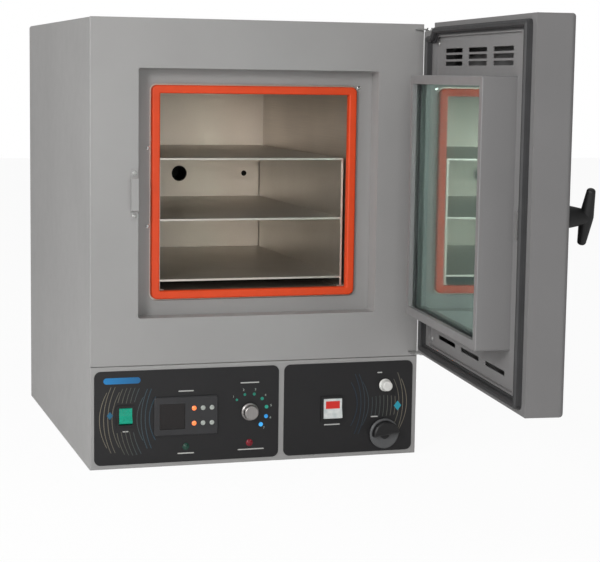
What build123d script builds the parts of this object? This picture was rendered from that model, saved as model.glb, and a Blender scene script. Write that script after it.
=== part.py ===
"""Bench-top vacuum oven with a side-hinged glazed door, as separate parts.

Units are millimetres. X runs from the latch side to the hinge side, Y from the
front to the back and Z up. The origin is the centre of the base, on the bench.
The door is drawn closed and then swung open about its hinge pins.
"""
import os
from math import cos, radians, sin, tan

from build123d import *

# Chamber
chamber_width = 305.0
chamber_wall = 3.0
flange_thick = 8.0
seal_proud = 8.0
blanket = 42.0
port_radius = 12.0
port_x = -5.5
probe_x = 116.5
probe_radius = 2.5
floor_rail = 3.0

# Case
wall_space = 110.0
case_depth = 618.0
case_height = 680.0
case_corner = 5.0
sheet = 1.2
front_sheet = 2.0
panel_seam = 158.0
foot_ring = 24.0
foot_step = 6.0
deck_sheet = 1.5
recess_depth = 34.0

# Shelves
shelf_offset = -1.5
shelf_sheet = 1.5
shelf_heights = [15.0, 93.1, 93.4]

# Door
door_thick = 52.7
door_gap = 10.0
door_edge = 7.0
door_open = 84.0
notch_length = 57.0
notch_height = 12.0
gasket_free_side = 15.0
gasket_hinge_side = 36.5
gasket_end = 7.0
gasket_width = 12.0
gasket_foot = 2.5
liner_free_side = 46.0
liner_hinge_side = 58.5
liner_end = 20.5
liner_recess = 5.0
glass_thick = 10.0
lip_sheet = 2.0
lip_side = 12.0
lip_end = 13.0
lip_clear = 1.5
vent_slot_length = 87.0
vent_slot_height = 6.4
vent_slot_pitch = 116.0

# Hinge and latch
pin_radius = 4.0
strap = 2.0
latch_rod = 5.0
handle_reach = 34.5
handle_length = 80.0
handle_lean = 22.0
cam_thick = 2.5
cam_clear = 3.0
cam_reach = 30.0
keeper_width = 11.0
keeper_length = 74.0

# Instruments on the control panel
overlay_thick = 0.8
overlay_corner = 10.0
key_radius = 3.6
key_travel = 1.5
shaft_radius = 3.0
running_fit = 0.05
rocker_tilt = 7.0
tube_radius = 4.75
tube_wall = 1.0
tube_bend = 9.0
tube_drop = 12.0
vent_tube_radius = 3.175
socket_height = 70.0
port_spigot = 7.0
free_gap = 0.3

# Case planes
case_width = chamber_width + 2 * wall_space
front = -case_depth / 2
back = case_depth / 2
half_width = case_width / 2
inside = half_width - sheet
behind_panel = front + front_sheet
deck_height = panel_seam + 2
deck_top = deck_height + deck_sheet
centre_height = (panel_seam + case_height) / 2 - 1

# Recess, chamber and seal
recess_width = chamber_width + 74
recess_height = chamber_width + 71
seal_outer = chamber_width + 21
seal_inner = chamber_width - 4
flange_width = chamber_width + 45
recess_floor = front + recess_depth
flange_front = recess_floor + 4
chamber_depth = case_depth - 134
chamber_back = flange_front + chamber_depth
chamber_middle = flange_front + chamber_depth / 2
chamber_out = chamber_width + 2 * chamber_wall
floor_height = centre_height - chamber_width / 2
shelf_width = chamber_width - 8
seal_face = recess_floor - seal_proud
manifold_y = chamber_back + 4 + blanket + 8
support_rows = [chamber_middle - 186, chamber_middle + 149]
support_half = 125.0

# Door planes, with the door closed
rim = front - door_gap
door_face = rim - door_thick
liner_face = rim - liner_recess
glass_face = seal_face - free_gap
lip_front = recess_floor - lip_clear
door_bottom = panel_seam + 10
door_height = case_height - door_bottom
door_middle = door_bottom + door_height / 2
liner_left = liner_free_side - half_width
liner_right = half_width - liner_hinge_side
window_size = chamber_width - 15
window_pane = window_size + 17.6
lip_centre = centre_height + 3
lip_opening_width = seal_outer + 6
lip_opening_height = seal_outer + 8
lip_width = lip_opening_width + 2 * lip_side
lip_height = lip_opening_height + 2 * lip_end
vent_slot_rows = [door_bottom + 39.5, case_height - 61.6, case_height - 52, case_height - 42.5]

# Hinge and latch places
pin_x = half_width + 2.5
pin_y = front - 20.5
upper_arm = case_height - notch_height + strap + free_gap
lower_arm = door_bottom - 2 * strap - free_gap
bracket_feet = [(upper_arm, upper_arm - 34), (lower_arm, lower_arm)]
handle_x = 37 - half_width
handle_height = centre_height + 4.5
keeper_x = handle_x + 29.5

# Panel places; columns and rows are steps of the panel's size
column_step = case_width / 21
row_step = panel_seam / 15.8
overlay_face = front - overlay_thick
overlay_seam = 1.51 * column_step
controller = (-4.58 * column_step, 7.8 * row_step, 100.0, 60.0)
display = (controller[0] - 22, controller[1], 40.0, 40.0)
key_columns = [controller[0] + 26, controller[0] + 40]
key_rows = [controller[1] - 11.5, controller[1] + 12]
lamp_column = controller[0] + 12
dial_at = (-0.54 * column_step, 8.0 * row_step)
red_lamp_at = (-0.54 * column_step, 3.1 * row_step)
green_lamp_at = (-4.58 * column_step, 3.0 * row_step)
power_switch = (-8.34 * column_step, 8.1 * row_step, 20.0, 24.0)
pump_switch = (4.88 * column_step, 7.78 * row_step, 30.0, 32.0)
vent_at = (8.34 * column_step, 11.3 * row_step)
vacuum_at = (8.32 * column_step, 3.5 * row_step)
vent_inlet_x = vent_at[0] + 31.5
valve_front = front + 22
valve_depth = 35.0
tube_turn = valve_front + 13
rear_sockets = [(72.5 - half_width, 28.0, 24.0), (132.5 - half_width, 28.0, 24.0)]


def slab(sketch, near, depth):
    """Extrude a front-view sketch from the plane y = near towards the back."""
    plane = Plane(origin=(0, near, 0), x_dir=(1, 0, 0), z_dir=(0, -1, 0))
    return extrude(plane * sketch, amount=-depth)


def rect(width, height, x=0.0, z=0.0):
    """Rectangle in front view."""
    return Pos(x, z) * Rectangle(width, height)


def round_rect(width, height, radius, x=0.0, z=0.0):
    """Rectangle with rounded corners in front view."""
    return Pos(x, z) * RectangleRounded(width, height, radius)


def disc(radius, x=0.0, z=0.0):
    """Disc in front view."""
    return Pos(x, z) * Circle(radius)


def block(x, y, z):
    """Box between pairs of limits."""
    size = Box(x[1] - x[0], y[1] - y[0], z[1] - z[0])
    return Pos((x[0] + x[1]) / 2, (y[0] + y[1]) / 2, (z[0] + z[1]) / 2) * size


def outline(points):
    """Closed flat outline through points."""
    return make_face(Polyline(*points, close=True))


def turned(points, x, y, z):
    """Solid of revolution about a front-to-back line; points are (radius, reach to the front)."""
    body = revolve(outline(points), axis=Axis.Y)
    return Pos(x, y, z) * Rot(0, 0, 180) * body


def along_x(points, x, width):
    """Side-view outline of (y, z) points extruded along X from x."""
    face = Plane(origin=(x, 0, 0), x_dir=(0, 1, 0), z_dir=(1, 0, 0)) * outline(points)
    return extrude(face, amount=width)


def tube(points, radius, wall, bend):
    """Bent round tube through points."""
    path = FilletPolyline(*points, radius=bend) if len(points) > 2 else Line(*points)
    section = Plane(origin=path @ 0, z_dir=path % 0) * (Circle(radius) - Circle(radius - wall))
    return sweep(section, path=path)


def pan_head(x, y, z, radius, height):
    """Pan screw head on a face at y that looks to the front, with a cross slot."""
    head = turned([(0, 0), (radius, 0), (radius, height * 0.5), (radius * 0.7, height), (0, height)], x, y, z)
    for width, tall in ((radius, 0.8), (0.8, radius)):
        head -= slab(rect(width, tall, x, z), y - height, height * 0.4)
    return head


def outer_case():
    def arch(width, height):
        shape = rect(width, height, 0, height / 2)
        return fillet(shape.vertices().group_by(Axis.Y)[-1], case_corner)

    wrapper = arch(case_width, case_height)
    hollow = arch(case_width - 2 * sheet, case_height - sheet)
    lip_hole = rect(2 * inside - 32, case_height - sheet - 16, 0, (case_height - sheet - 16) / 2)
    case = slab(wrapper - hollow, behind_panel, case_depth - front_sheet)
    return case + slab(hollow - lip_hole, back - 2 * sheet, sheet)


def front_return(low, high, open_ends):
    """Folded edge behind a front plate that slips inside the wrapper."""
    height = high - low
    tall = height if open_ends else height + 40
    shape = rect(2 * inside, height, 0, (low + high) / 2)
    shape -= rect(2 * inside - 2.4, tall, 0, (low + high) / 2)
    return slab(shape, behind_panel, 14)


def front_fascia():
    height = case_height - panel_seam
    plate = slab(rect(case_width, height, 0, panel_seam + height / 2), front, front_sheet)
    plate = fillet(plate.faces().sort_by(Axis.Y)[0].edges(), 1.2)
    opening = round_rect(recess_width, recess_height, 4, 0, centre_height)
    rim_out = round_rect(recess_width + 3, recess_height + 3, 5.5, 0, centre_height)
    mouth = round_rect(seal_outer + 5, seal_outer + 5, 11, 0, centre_height)
    fascia = plate - slab(opening, front, front_sheet)
    fascia += slab(rim_out - opening, behind_panel, recess_depth - front_sheet)
    fascia += slab(rim_out - mouth, recess_floor, flange_front - recess_floor)
    for arm, foot in bracket_feet:
        slot = rect(13, strap + 2 * free_gap, half_width - 8.5, arm + strap / 2)
        fascia -= slab(slot, front, front_sheet)
    return fascia + front_return(panel_seam + 4, case_height - case_corner - sheet, False)


def panel_holes():
    """Holes through the control panel for everything mounted in it."""
    holes = rect(controller[2] - 6, controller[3] - 6, controller[0], controller[1])
    for x, z, width, height in (power_switch, pump_switch):
        holes += rect(width + 4, height + 4, x, z)
    for x, z in (dial_at, vent_at, vacuum_at):
        holes += disc(shaft_radius + 3, x, z)
    for x, z in (red_lamp_at, green_lamp_at):
        holes += disc(4, x, z)
    return holes


def control_housing():
    height = panel_seam - 0.6
    plate = slab(rect(case_width, height, 0, height / 2), front, front_sheet)
    plate = fillet(plate.faces().sort_by(Axis.Y)[0].edges(), 1.2)
    housing = plate - slab(panel_holes(), front, front_sheet)
    return housing + front_return(9, height - 3, True)


def overlay(left, right):
    """Printed front film of one half of the control panel."""
    film = round_rect(right - left, panel_seam - 13.5, overlay_corner, (left + right) / 2, panel_seam / 2 - 0.3)
    film = slab(film, overlay_face, overlay_thick)
    return film - slab(panel_holes(), overlay_face, overlay_thick)


def base_pan():
    length = back - 2 * sheet - behind_panel
    middle = (back - 2 * sheet + behind_panel) / 2
    outer = Rectangle(2 * inside, length)
    step = Rectangle(2 * inside - 2 * foot_ring, length - 2 * foot_ring)
    shell = extrude(outer, 1.5) - extrude(step, 1.5)
    shell += extrude(step, foot_step + 1.5) - extrude(offset(step, -1.5), foot_step)
    side = extrude(outer - offset(outer, -1.5), 8)
    pan = Pos(0, middle, 0) * (shell + side)
    for column in (-1, 1):
        for row in range(6):
            place = Pos(column * 120, row * 30 + 40, foot_step)
            pan -= place * extrude(SlotOverall(110, 6), 1.5)
    return pan


def inner_deck():
    deck = block((-inside, inside), (behind_panel, back - 2 * sheet), (deck_height, deck_top))
    for x in (port_x, port_x - 54.5):
        deck -= Pos(x, manifold_y, deck_height) * extrude(Circle(7), deck_sheet)
    return deck


def louvre(x, z):
    """Pressed hood over a slot in the back panel, open downwards."""
    hood = along_x([(back, z + 9), (back + 5, z), (back, z)], x - 28, 56)
    hollow = along_x([(back, z + 7.4), (back + 4, z), (back, z)], x - 27, 54)
    return hood - hollow


def back_panel():
    low = 1.5
    height = case_height - sheet - 0.5 - low
    face = rect(2 * inside - 1, height, 0, low + height / 2)
    face = fillet(face.vertices().group_by(Axis.Y)[-1], case_corner)
    panel = slab(face, back - sheet, sheet)
    for x in (-160, -80, 80, 160):
        for z in (130, 146, case_height - 80, case_height - 64, case_height - 48):
            panel -= slab(rect(54, 6, x, z + 3.2), back - sheet, sheet)
            panel += louvre(x, z)
    panel -= slab(disc(tube_radius + 2, vacuum_at[0], vacuum_at[1]), back - sheet, sheet)
    panel -= slab(disc(vent_tube_radius + 2, vent_inlet_x, vent_at[1]), back - sheet, sheet)
    for x, width, height in rear_sockets:
        panel -= slab(rect(width, height, x, socket_height), back - sheet, sheet)
    return panel


def case_screws():
    screws = []
    for x in (-1, 1):
        for row in range(5):
            z = 60 + row * (case_height - 80) / 4
            screws.append(Rot(0, 0, 180) * pan_head(x * (inside - 9), -back, z, 3.4, 2))
    for x in (-120, 0, 120):
        screws.append(Rot(0, 0, 180) * pan_head(x, -back, case_height - 10, 3.4, 2))
    return screws


def chamber_body():
    shell = slab(round_rect(chamber_out, chamber_out, 5, 0, centre_height), flange_front, chamber_depth + 4)
    hollow = slab(round_rect(chamber_width, chamber_width, 2, 0, centre_height), flange_front, chamber_depth)
    body = shell - hollow
    body -= slab(disc(port_radius + 2, port_x, centre_height), chamber_back, 4)
    body -= slab(disc(5, probe_x, centre_height), chamber_back, 4)
    ring = round_rect(flange_width, flange_width, 12, 0, centre_height)
    ring -= round_rect(chamber_width + chamber_wall, chamber_width + chamber_wall, 3, 0, centre_height)
    body += slab(ring, flange_front, flange_thick)
    for side in (-1, 1):
        rail = rect(12, floor_rail, side * (shelf_width / 2 - 2), floor_height + floor_rail / 2)
        body += slab(rail, flange_front + 6, chamber_depth - 12)
    return body


def chamber_gasket():
    outer = round_rect(seal_outer, seal_outer, 9, 0, centre_height)
    inner = round_rect(seal_inner, seal_inner, 1.5, 0, centre_height)
    ring = slab(outer - inner, seal_face, flange_front - seal_face)
    return fillet(ring.faces().sort_by(Axis.Y)[0].edges(), 2.5)


def gasket_clips():
    edge = seal_outer / 2
    spots = [(-edge - 5, centre_height + 68), (-edge - 5, centre_height - 51), (edge + 5, centre_height + edge - 1)]
    proud = lip_clear - 0.4
    return [turned([(0, 0), (3, 0), (3, proud - 0.5), (2, proud), (0, proud)], x, recess_floor, z) for x, z in spots]


def manifold():
    """Evacuation pocket behind the chamber with two side spigots."""
    length = manifold_y - chamber_back + 10
    pocket = turned([(port_radius, 0), (port_radius + 2, 0), (port_radius + 2, -length),
                     (0, -length), (0, -length + 4), (port_radius, -length + 4)],
                    port_x, chamber_back, centre_height)
    down = Pos(port_x, manifold_y, centre_height - 20) * Cylinder(tube_radius, 16)
    side = Pos(port_x - 20, manifold_y, centre_height) * Rot(0, 90, 0) * Cylinder(vent_tube_radius, 16)
    bore = Pos(port_x, manifold_y, centre_height - 20) * Cylinder(tube_radius - tube_wall, 22)
    return pocket + down + side - bore


def temperature_probe():
    """Pocket through the chamber's back wall and the sensor rod inside it."""
    well = turned([(probe_radius, 0), (5, 0), (5, -40), (0, -40), (0, -38), (probe_radius, -38)],
                  probe_x, chamber_back, centre_height)
    rod = slab(disc(probe_radius, probe_x, centre_height), chamber_back + 10, 28)
    return [well, fillet(rod.faces().sort_by(Axis.Y)[0].edges(), 1.5)]


def heater_pads():
    pads = []
    for side in range(4):
        pad = block((-115, 115), (chamber_middle - 145, chamber_middle + 145), (chamber_out / 2, chamber_out / 2 + 3))
        pads.append(Pos(0, 0, centre_height) * Rot(0, 90 * side, 0) * pad)
    return pads


def chamber_supports():
    low = deck_top
    high = centre_height - chamber_out / 2
    span = (-support_half, support_half)
    beams = []
    for y in support_rows:
        beam = block(span, (y, y + 32), (low, high))
        beams.append(beam - block(span, (y + 2, y + 32), (low + 2, high - 2)))
    return beams


def insulation():
    jacket = round_rect(chamber_out + 2 * blanket, chamber_out + 2 * blanket, 20, 0, centre_height)
    near = flange_front + flange_thick
    wool = slab(jacket, near, chamber_back + 4 + blanket - near)
    wool -= slab(round_rect(chamber_out, chamber_out, 5, 0, centre_height), near, chamber_back + 4 - near)
    for pad in heater_pads():
        wool -= pad
    for y in support_rows:
        wool -= block((-support_half, support_half), (y, y + 32), (deck_top, centre_height - chamber_out / 2))
    wool -= slab(disc(port_radius + 2, port_x, centre_height), chamber_back + 4, blanket)
    return wool - slab(disc(5, probe_x, centre_height), chamber_back + 4, 40)


def vacuum_tubes():
    x, z = vacuum_at
    run = z + 13 + tube_drop
    feed = tube([(port_x, manifold_y, centre_height - 28), (port_x, manifold_y, run), (x, manifold_y, run),
                 (x, tube_turn, run), (x, tube_turn, z + 13)], tube_radius, tube_wall, tube_bend)
    drain = tube([(x, valve_front + valve_depth, z), (x, back - port_spigot, z)], tube_radius, tube_wall, tube_bend)
    return [feed, drain]


def vent_tubes():
    x, z = vent_at
    side = port_x - 54.5
    valve_back = valve_front + valve_depth
    feed = tube([(port_x - 28, manifold_y, centre_height), (side, manifold_y, centre_height),
                 (side, manifold_y, z), (side, valve_back + 52, z), (x, valve_back + 52, z), (x, valve_back, z)],
                vent_tube_radius, tube_wall, tube_bend)
    intake = tube([(x + 13, tube_turn, z), (vent_inlet_x, tube_turn, z), (vent_inlet_x, back - port_spigot, z)],
                  vent_tube_radius, tube_wall, tube_bend)
    return [feed, intake]


def valve_body(x, z):
    """Needle valve behind the panel with a threaded neck through it."""
    block_shape = slab(rect(26, 26, x, z), valve_front, valve_depth)
    neck = turned([(0, 0), (shaft_radius + 3, 0), (shaft_radius + 3, -25), (0, -25)], x, overlay_face - 2, z)
    nut = slab(Pos(x, z) * RegularPolygon(8.5, 6), overlay_face - 2, 2)
    shoulder = slab(disc(9, x, z), behind_panel, valve_front - behind_panel)
    valve = block_shape + neck + shoulder + nut
    return valve - slab(disc(shaft_radius + running_fit, x, z), overlay_face - 2, 22)


def valve_stem(x, z, reach):
    """Spindle that turns in the valve neck."""
    return slab(disc(shaft_radius, x, z), overlay_face - reach, reach + 18)


def rear_port(x, z, radius, length):
    """Hose nipple with a nut flange, open through its length."""
    points = [(radius - 1, -port_spigot), (radius + 2, -port_spigot), (radius + 2, 0), (radius + 5, 0), (radius + 5, 5),
              (radius, 5), (radius, length + 4), (radius - 0.8, length + 5), (radius - 1, length + 5)]
    return Rot(0, 0, 180) * turned(points, -x, -back, z)


def rear_socket(x, pins):
    """Recessed mains connector body in the back panel."""
    width, height = 28.0, 24.0
    body = slab(round_rect(width, height, 3, x, socket_height), back - 26, 26)
    flange = slab(rect(width + 20, height + 4, x, socket_height), back, 3)
    if pins:
        pocket = slab(round_rect(width - 4, height - 6, 3, x, socket_height), back - 15, 18)
        shell = body + flange - pocket
        for dx, dz in ((-7, -2), (0, 2), (7, -2)):
            shell += slab(rect(2, 5, x + dx, socket_height + dz), back - 16, 12)
        return shell
    shell = body + flange
    for dx, dz in ((-7, -2), (0, 2), (7, -2)):
        shell -= slab(rect(3, 6, x + dx, socket_height + dz), back - 15, 18)
    return shell


def relay_module():
    base = block((-60, -15), (60, 118), (foot_step + 1.5, 30))
    for fin in range(6):
        base += block((-60 + fin * 8.4, -57 + fin * 8.4), (60, 118), (30, 62))
    return base


def switch_body(place):
    """Switch frame in front of the panel with a hollow body behind it."""
    x, z, width, height = place
    frame = slab(round_rect(width + 9, height + 9, 2.5, x, z), overlay_face - 2, 2)
    body = slab(rect(width + 4, height + 4, x, z), overlay_face, 24)
    pocket = slab(rect(width + 2 * free_gap, height + 2.2, x, z), overlay_face - 2, 20)
    return frame + body - pocket


def rocker(place):
    """Rocker with two faces that dish towards its middle, pressed in at the top."""
    x, z, width, height = place
    half = height / 2
    reach = sqrt_sum(half, 8)
    slope = tan(radians(rocker_tilt))
    points = [(-6, -half), (8 + half * slope, -half), (8, 0), (8 + half * slope, half), (-6, half)]
    shape = outline([(-u, v) for u, v in points]) & Circle(reach)
    side = Plane(origin=(x - width / 2, overlay_face + 6, z), x_dir=(0, 1, 0), z_dir=(1, 0, 0))
    body = extrude(side * shape, amount=width)
    pivot = Pos(x, overlay_face + 6, z)
    return pivot * Rot(-rocker_tilt, 0, 0) * pivot.inverse() * body


def rocker_axle(place):
    """Round axle that joins the two cheeks of a switch and carries its rocker."""
    x, z, width, height = place
    return Pos(x, overlay_face + 6, z) * Rot(0, 90, 0) * Cylinder(1.5, width + 4)


def sqrt_sum(a, b):
    """Length of the hypotenuse."""
    return (a * a + b * b) ** 0.5


def controller_body():
    x, z, width, height = controller
    face = slab(round_rect(width, height, 3, x, z), overlay_face - 4, 4)
    face = chamfer(face.faces().sort_by(Axis.Y)[0].edges(), 1.5)
    body = face + slab(rect(width - 6, height - 6, x, z), overlay_face, 60)
    body -= slab(rect(display[2], display[3], display[0], display[1]), overlay_face - 4, 3)
    for row in key_rows:
        body -= slab(disc(key_radius, lamp_column, row), overlay_face - 4, 4)
        for column in key_columns:
            body -= slab(disc(key_radius + free_gap, column, row), overlay_face - 4, 10)
            body -= slab(disc(key_radius + 1.6, column, row), overlay_face - 1.5, 4.5)
    return body


def display_window():
    x, z, width, height = display
    return slab(rect(width, height, x, z), overlay_face - 2.5, 1.5)


def controller_lamps():
    near = overlay_face - 4
    points = [(0, 0.8), (key_radius - 1.5, 0.8), (key_radius, 0), (key_radius, -4), (0, -4)]
    return [turned(points, lamp_column, near, row) for row in key_rows]


def key(column, row):
    """Round key with a flange that stops it behind the fascia."""
    points = [(0, 5.6), (key_radius - 1, 5.6), (key_radius, 4.8), (key_radius, 1.5), (key_radius + 1.3, 1.5),
              (key_radius + 1.3, 0), (0, 0)]
    return turned(points, column, overlay_face, row)


def pilot_lamp(x, z):
    """Domed lens with a barrel through the panel."""
    return turned([(0, 4), (2.5, 3.4), (4, 2), (5.5, 1.2), (5.5, 0), (4, 0), (4, -14), (0, -14)],
                  x, overlay_face, z)


def limit_control():
    """Limit thermostat behind the panel with its threaded neck."""
    x, z = dial_at
    can = slab(disc(17, x, z), valve_front - 3, 30)
    shoulder = slab(disc(9, x, z), behind_panel, valve_front - 3 - behind_panel)
    neck = turned([(0, 0), (shaft_radius + 3, 0), (shaft_radius + 3, -25), (0, -25)], x, overlay_face - 1.5, z)
    return can + shoulder + neck - slab(disc(shaft_radius + running_fit, x, z), overlay_face - 1.5, 22)


def knob(x, z, radius, reach, flutes, lift):
    """Skirted knob, fluted around its waist, bored for its spindle."""
    skirt = radius * 0.14
    points = [(shaft_radius, 0), (radius, 0), (radius, 2), (radius - skirt, 3.5), (radius - skirt - 0.8, reach - 1),
              (radius - skirt - 2, reach), (0, reach), (0, reach - 3), (shaft_radius, reach - 3)]
    body = turned([(r, out + lift) for r, out in points], x, overlay_face, z)
    for flute in range(flutes):
        angle = radians(360 / flutes * flute)
        spot = (x + radius * 0.97 * cos(angle), z + radius * 0.97 * sin(angle))
        cut = slab(disc(radius * 0.16, spot[0], spot[1]), overlay_face - lift - reach - 1, reach - 2.5)
        body -= cut
    return body


def vacuum_knob():
    """Large knob: a flat dished skirt whose upper half rises into a half-round grip."""
    x, z = vacuum_at
    radius, lift, reach = 24.0, 2.3, 17.0
    skirt = turned([(0, 0), (radius, 0), (radius, 2.5), (radius - 1.5, 4), (9, 4), (7, 6), (0, 6)],
                   x, overlay_face - lift, z)
    upper = Circle(radius - 2.5) & Pos(0, radius / 2) * Rectangle(2 * radius, radius)
    grip = slab(Pos(x, z) * Rot(0, 0, 7) * upper, overlay_face - lift - reach, reach - 3)
    grip = chamfer(grip.faces().sort_by(Axis.Y)[0].edges(), 2)
    return skirt + grip - slab(disc(shaft_radius, x, z), overlay_face - lift - 5, 5)


def shelf(level):
    """Folded shelf standing on two side legs, with a thicker hemmed front edge."""
    bottom = floor_height + floor_rail + sum(shelf_heights[:level])
    height = shelf_heights[level]

    def fold(thick):
        outer = rect(shelf_width, height, shelf_offset, bottom + height / 2)
        inner = rect(shelf_width - 2 * thick, height - thick, shelf_offset, bottom + (height - thick) / 2)
        return outer - inner

    near = flange_front + 3.5
    tray = slab(fold(shelf_sheet), near, chamber_depth - 8)
    tray = tray + slab(fold(2 * shelf_sheet), near, 6)
    corners = tray.edges().filter_by(Axis.Y).group_by(Axis.Z)[-1]
    return fillet(corners, shelf_sheet)


def latch_strike():
    """Bridge-shaped keeper that the latch blade turns behind."""
    near = front - door_gap + 1.5
    low, high = centre_height - keeper_length / 2, centre_height + keeper_length / 2
    under = front - cam_clear - cam_thick - free_gap
    points = [(front, low), (front - 2, low), (front - 2, low + 10), (near, low + 13), (near, high - 13),
              (front - 2, high - 10), (front - 2, high), (front, high), (front, high - 12),
              (under, high - 15), (under, low + 15), (front, low + 12)]
    return along_x(points, keeper_x - keeper_width / 2, keeper_width)


def eye_plate(x_low, low, thick, reach):
    """Flat strap with a round eye at the hinge pin."""
    flat = block((x_low, pin_x), (reach[0], reach[1]), (low, low + thick))
    if reach[1] > front:
        flat -= block((half_width - 2.5, pin_x), (front - 2, reach[1]), (low, low + thick))
    return flat + Pos(pin_x, pin_y, low + thick / 2) * Cylinder(8, thick)


def hinge_brackets():
    """Case-side brackets: a foot behind the fascia, an arm through its slot and a headed pin."""
    brackets = []
    pin_length = 2 * strap + free_gap - 0.2
    heads = ((upper_arm + strap - pin_length, upper_arm + strap), (lower_arm, lower_arm - 1.5))
    for (arm, foot), (pin, head) in zip(bracket_feet, heads):
        plate = eye_plate(half_width - 14, arm, strap, (pin_y - 5, behind_panel + 1))
        plate += block((half_width - 20, half_width - 3), (behind_panel, behind_panel + 2.5), (foot, foot + 34 + strap))
        plate += Pos(pin_x, pin_y, pin) * extrude(Circle(pin_radius), pin_length)
        brackets.append(plate + Pos(pin_x, pin_y, head) * extrude(Circle(6), 1.5))
    return brackets


def fascia_screws():
    """Screws of the latch keeper."""
    ends = (centre_height - keeper_length / 2 + 5, centre_height + keeper_length / 2 - 5)
    return [pan_head(keeper_x, front - 2, z, 3, 2) for z in ends]


def hinge_straps():
    """Door-side straps lying on the notch floor and under the door."""
    straps = []
    for low in (upper_arm - strap - free_gap, lower_arm + strap + free_gap):
        plate = eye_plate(pin_x - notch_length + 2, low, strap, (pin_y - 12, pin_y + 7))
        straps.append(plate - Pos(pin_x, pin_y, low + strap / 2) * Cylinder(pin_radius + running_fit, strap))
    return straps


def door_outline():
    """Door seen from the front, with the notch at its top hinge corner."""
    edge = door_bottom + door_height
    return outline([(-half_width, door_bottom), (half_width, door_bottom), (half_width, edge - notch_height),
                    (half_width - notch_length, edge - notch_height), (half_width - notch_length, edge),
                    (-half_width, edge)])


def door_shell():
    solid = slab(door_outline(), door_face, door_thick)
    solid = fillet(solid.faces().sort_by(Axis.Y)[0].edges(), door_edge)
    hollow = slab(offset(door_outline(), -sheet, kind=Kind.INTERSECTION), door_face + sheet, door_thick - 2 * sheet)
    hollow = fillet(hollow.faces().sort_by(Axis.Y)[0].edges(), door_edge - sheet)
    mouth = liner_outline()
    shell = solid - hollow - slab(mouth, rim - sheet, sheet)
    shell -= slab(rect(window_size, window_size, 0, centre_height), door_face, sheet)
    return shell - slab(disc(latch_rod + 3, handle_x, handle_height), door_face, door_thick)


def liner_outline():
    """Mouth of the door's hollow that the liner tray closes."""
    middle = (liner_left + liner_right) / 2
    return round_rect(liner_right - liner_left, door_height - 2 * liner_end, 16, middle, door_middle)


def door_liner():
    outer = liner_outline()
    inner = offset(outer, -sheet)
    tray = slab(outer, liner_face - sheet, sheet) + slab(outer - inner, liner_face, liner_recess)
    tray -= slab(rect(lip_width, lip_height, 0, lip_centre), liner_face - sheet, sheet)
    slots = [(column * vent_slot_pitch, row) for column in (-1, 0, 1) for row in vent_slot_rows]
    for x, z in slots:
        tray -= slab(round_rect(vent_slot_length, vent_slot_height, 2, x, z), liner_face - sheet, sheet)
    return tray


def door_gasket():
    """Seal around the door's rim: a low foot with a hollow-looking bulb along its middle."""
    left, right = gasket_free_side - half_width, half_width - gasket_hinge_side
    low, high = door_bottom + gasket_end, case_height - gasket_end
    step = case_height - notch_height - gasket_end
    cut = half_width - notch_length - gasket_end
    shape = outline([(left, low), (right, low), (right, step), (cut, step), (cut - 14, high), (left, high)])
    shape = fillet(shape.vertices(), 8)
    foot = slab(shape - offset(shape, -gasket_width, kind=Kind.INTERSECTION), rim, gasket_foot)
    bulb = offset(shape, -1) - offset(shape, 2.5 - gasket_width, kind=Kind.INTERSECTION)
    bulb = slab(bulb, rim, door_gap - free_gap)
    return foot + chamfer(bulb.faces().sort_by(Axis.Y)[-1].edges(), 2.2)


def window_box():
    """Drawn frame that carries the glass into the recess, with a turned-in lip."""
    foot = liner_face - 2 * sheet
    outer = round_rect(lip_width, lip_height, 3, 0, lip_centre)
    bore = rect(lip_width - 2 * lip_sheet, lip_height - 2 * lip_sheet, 0, lip_centre)
    lip_hole = rect(lip_opening_width, lip_opening_height, 0, lip_centre)
    lip_rim = rect(lip_opening_width + 2 * sheet, lip_opening_height + 2 * sheet, 0, lip_centre)
    wall = slab(outer, foot, lip_front - foot)
    wall = fillet(wall.faces().sort_by(Axis.Y)[-1].edges(), 1.4)
    wall -= slab(bore, foot, lip_front - lip_sheet - foot)
    wall -= slab(lip_hole, lip_front - lip_sheet, lip_sheet)
    wall += slab(lip_rim - lip_hole, glass_face, lip_front - glass_face)
    flange = rect(lip_width + 24, lip_height + 24, 0, lip_centre) - rect(lip_width, lip_height, 0, lip_centre)
    return wall + slab(flange, foot, sheet)


def inner_glass():
    pane = rect(lip_width - 2 * lip_sheet, lip_height - 2 * lip_sheet, 0, lip_centre)
    return slab(pane, glass_face - glass_thick, glass_thick)


def window_shroud():
    """Flared duct between the two panes; its front flange holds the inner one against the lip."""
    near = door_face + sheet
    far = glass_face - glass_thick

    def flare(wall):
        outer_end = Plane(origin=(0, near, 0), x_dir=(1, 0, 0), z_dir=(0, -1, 0))
        inner_end = Plane(origin=(0, far, 0), x_dir=(1, 0, 0), z_dir=(0, -1, 0))
        small = rect(window_pane + 2 * wall, window_pane + 2 * wall, 0, centre_height)
        large = rect(lip_opening_width + 2 * wall, lip_opening_height + 2 * wall, 0, lip_centre)
        return loft([outer_end * small, inner_end * large])

    ring = rect(lip_width - 2 * lip_sheet, lip_height - 2 * lip_sheet, 0, lip_centre)
    flange = slab(ring, far - 2, 2)
    return flare(sheet) + flange - flare(0)


def outer_window():
    return slab(rect(window_pane, window_pane, 0, centre_height), door_face + sheet, 6)


def window_trim():
    outer = round_rect(window_size + 24, window_size + 24, 12, 0, centre_height)
    inner = round_rect(window_size - 12, window_size - 12, 8, 0, centre_height)
    trim = slab(outer - inner, door_face - 3, 3)
    trim = chamfer(trim.faces().sort_by(Axis.Y)[0].edges(), 1.2)
    neck = rect(window_size, window_size, 0, centre_height) - inner
    return trim + slab(neck, door_face, sheet)


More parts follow.
